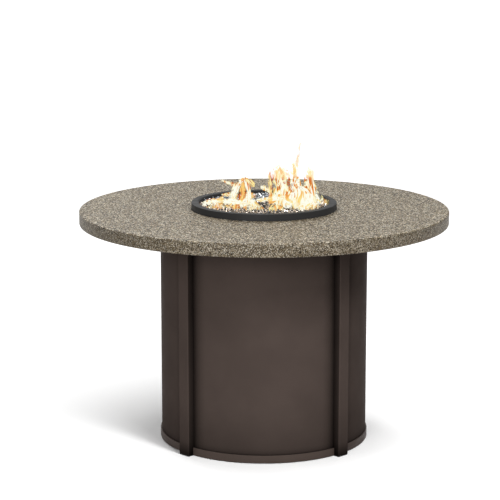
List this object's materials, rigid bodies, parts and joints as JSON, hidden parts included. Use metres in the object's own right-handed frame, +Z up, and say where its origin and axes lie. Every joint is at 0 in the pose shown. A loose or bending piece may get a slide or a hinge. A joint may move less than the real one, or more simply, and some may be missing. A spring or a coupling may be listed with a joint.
{
  "type": "fire pit table",
  "caption": "Round stone-topped gas fire pit table, lit: sunken glass fire bowl in a raised ring, on a drum base with corner posts, rear door and control panel.",
  "frame": {"origin": "on the floor at the centre of the base, under the axis of the round top", "axes": "+Z up along the table's axis, -Y towards the front panel, +Y towards the door, +X to the right seen from the front"},
  "size_m": [1.219, 1.219, 0.995],
  "materials": {
    "granite": "speckled, honed",
    "bronze_paint": "dark bronze powder coat, semi-gloss",
    "ring_black": "charcoal heat-proof coat, satin",
    "stainless": "brushed",
    "galvanised": "zinc plated",
    "fire_glass": "reflective crushed glass",
    "flame": "burning gas, glowing",
    "brass": "machined",
    "ceramic": "glazed white",
    "black_plastic": "moulded, matte",
    "chrome": "polished",
    "ferrite": "sintered, matte",
    "aluminium": "drawn tube",
    "lead_sleeve": "silicone sleeve",
    "copper_lead": "drawn copper"
  },
  "bodies": {
    "root": {"table_top": "granite", "top_frame": "bronze_paint", "post_front_right": "bronze_paint", "post_rear_right": "bronze_paint", "post_rear_left": "bronze_paint", "post_front_left": "bronze_paint", "panel_front": "bronze_paint", "panel_left": "bronze_paint", "panel_right": "bronze_paint", "door_header": "bronze_paint", "base_band_front": "bronze_paint", "base_band_left": "bronze_paint", "base_band_right": "bronze_paint", "base_band_rear": "bronze_paint", "base_floor": "bronze_paint", "floor_brackets": "bronze_paint", "tank_collar": "bronze_paint", "magnet_bracket": "bronze_paint", "control_panel": "bronze_paint", "hinge_post_leaves": "bronze_paint", "fire_ring": "ring_black", "burner_pan": "stainless", "burner_ring": "stainless", "thermocouple": "stainless", "hinge_pins": "stainless", "heat_shield": "galvanised", "shield_studs": "galvanised", "top_screws": "galvanised", "igniter_nut": "galvanised", "burner_locknut": "galvanised", "fire_glass": "fire_glass", "flames": "flame", "air_mixer": "brass", "valve_body": "brass", "gas_nut_valve": "brass", "gas_nut_mixer": "brass", "spark_electrode": "ceramic", "post_glides": "black_plastic", "igniter_body": "black_plastic", "valve_bezel": "chrome", "door_magnet": "ferrite", "gas_connector": "aluminium", "ignition_lead": "lead_sleeve", "thermocouple_lead": "copper_lead"},
    "door": {"door_panel": "bronze_paint", "door_screws": "galvanised", "door_pull": "bronze_paint", "door_strike": "galvanised", "hinge_door_leaves": "bronze_paint"},
    "plunger": {"valve_plunger": "brass"},
    "knob": {"control_knob": "black_plastic", "valve_stem": "brass"},
    "button": {"igniter_button": "black_plastic"}
  },
  "joints": [
    {"name": "door_hinge", "type": "hinge", "parent": "root", "child": "door", "pos_m": [0.22616, 0.26462, 0.39], "axis": [0, 0, -1], "range_deg": [0, 100]},
    {"name": "valve_push", "type": "slide", "parent": "root", "child": "plunger", "axis": [0, -1, 0], "range_m": [0, 0.0035], "stiffness_N_per_m": 1200},
    {"name": "knob_turn", "type": "hinge", "parent": "plunger", "child": "knob", "pos_m": [0, 0.2965, 0.615], "axis": [0, 1, 0], "range_deg": [0, 180]},
    {"name": "igniter_press", "type": "slide", "parent": "root", "child": "button", "axis": [0, -1, 0], "range_m": [0, 0.003], "stiffness_N_per_m": 800}
  ]
}
